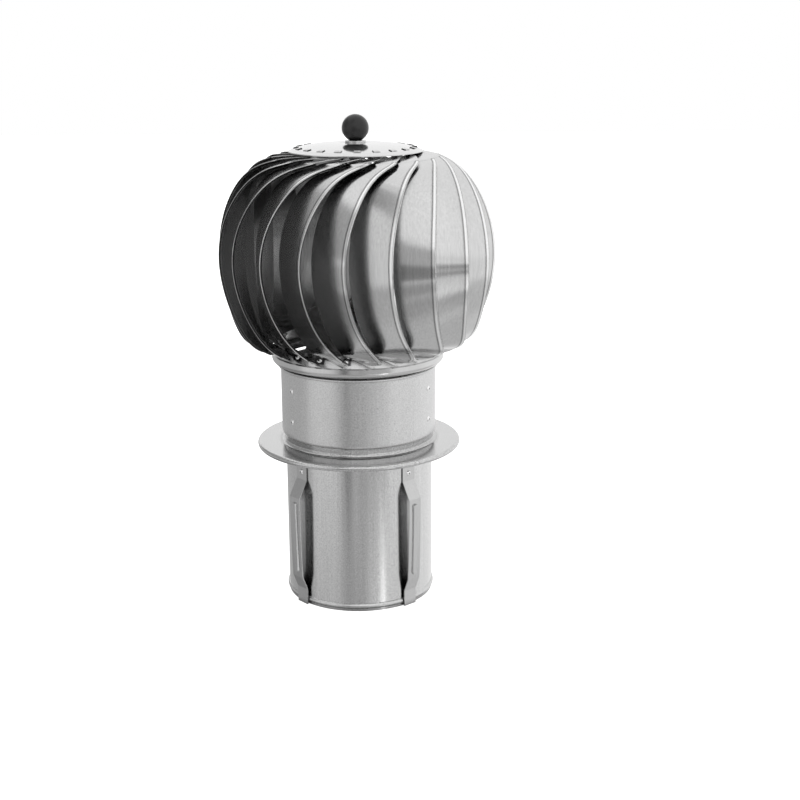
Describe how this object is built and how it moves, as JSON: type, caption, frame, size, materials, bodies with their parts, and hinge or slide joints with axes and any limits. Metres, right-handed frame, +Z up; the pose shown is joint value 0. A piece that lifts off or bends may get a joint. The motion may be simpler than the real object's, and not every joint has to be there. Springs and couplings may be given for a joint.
{
  "type": "roof turbine ventilator",
  "caption": "Roof turbine ventilator: spigot with bow springs, weather flange and collar under a free-spinning head of curved hemmed vanes with a domed cap and a ball knob.",
  "frame": {"origin": "on the axis, at the lower edge of the spigot", "axes": "+Z up along the spin axis, -Y towards the front"},
  "size_m": [0.2628, 0.2628, 0.467],
  "materials": {
    "spigot_steel": "fine satin sheet",
    "flange_steel": "fine satin sheet, bright rolled rim",
    "collar_steel": "satin sheet with a light grain",
    "spring_steel": "satin strip",
    "rivet": "bright",
    "bracket_steel": "dull zinc",
    "cast_housing": "grey casting",
    "fastener": "zinc plated",
    "bearing_steel": "ground and polished",
    "bearing_cage": "moulded nylon",
    "shaft_steel": "turned",
    "cap_steel": "polished sheet",
    "knob_plastic": "black, smooth",
    "ring_steel": "polished spun sheet",
    "vane_steel": "polished sheet with fine brushing along the blade"
  },
  "bodies": {
    "base": {"spigot": "spigot_steel", "flange": "flange_steel", "collar": "collar_steel", "bow_spring_1": "spring_steel", "bow_spring_2": "spring_steel", "bow_spring_3": "spring_steel", "bow_spring_4": "spring_steel", "spring_rivets": "rivet", "bearing_arm_1": "bracket_steel", "bearing_arm_2": "bracket_steel", "bearing_arm_3": "bracket_steel", "arm_rivets": "rivet", "bracket_plate": "bracket_steel", "bearing_housing": "cast_housing", "housing_screws": "fastener", "bearing_cover": "cast_housing", "lower_bearing_outer_ring": "bearing_steel", "upper_bearing_outer_ring": "bearing_steel", "retaining_clip": "fastener"},
    "rotor": {"shaft": "shaft_steel", "shaft_nut": "fastener", "bearing_spacer": "shaft_steel", "lower_bearing_inner_ring": "bearing_steel", "upper_bearing_inner_ring": "bearing_steel", "cap_hub": "cast_housing", "top_cap": "cap_steel", "knob_washer": "fastener", "ball_knob": "knob_plastic", "bottom_ring": "ring_steel", "vane_01": "vane_steel", "vane_02": "vane_steel", "vane_03": "vane_steel", "vane_04": "vane_steel", "vane_05": "vane_steel", "vane_06": "vane_steel", "vane_07": "vane_steel", "vane_08": "vane_steel", "vane_09": "vane_steel", "vane_10": "vane_steel", "vane_11": "vane_steel", "vane_12": "vane_steel", "vane_13": "vane_steel", "vane_14": "vane_steel", "vane_15": "vane_steel", "vane_16": "vane_steel", "vane_17": "vane_steel", "vane_18": "vane_steel", "vane_19": "vane_steel", "vane_20": "vane_steel", "vane_rivets": "rivet"},
    "lower_cage": {"lower_bearing_cage": "bearing_cage", "lower_bearing_balls": "bearing_steel"},
    "upper_cage": {"upper_bearing_cage": "bearing_cage", "upper_bearing_balls": "bearing_steel"}
  },
  "joints": [
    {"name": "rotor_spin", "type": "hinge", "parent": "base", "child": "rotor", "pos_m": [0, 0, 0.275], "axis": [0, 0, 1], "continuous": true},
    {"name": "lower_cage_spin", "type": "hinge", "parent": "base", "child": "lower_cage", "pos_m": [0, 0, 0.2435], "axis": [0, 0, 1], "continuous": true},
    {"name": "upper_cage_spin", "type": "hinge", "parent": "base", "child": "upper_cage", "pos_m": [0, 0, 0.2755], "axis": [0, 0, 1], "continuous": true}
  ],
  "couplings": [
    {"joint": "lower_cage_spin", "follows": "rotor_spin", "ratio": 0.3677},
    {"joint": "upper_cage_spin", "follows": "rotor_spin", "ratio": 0.3677}
  ]
}
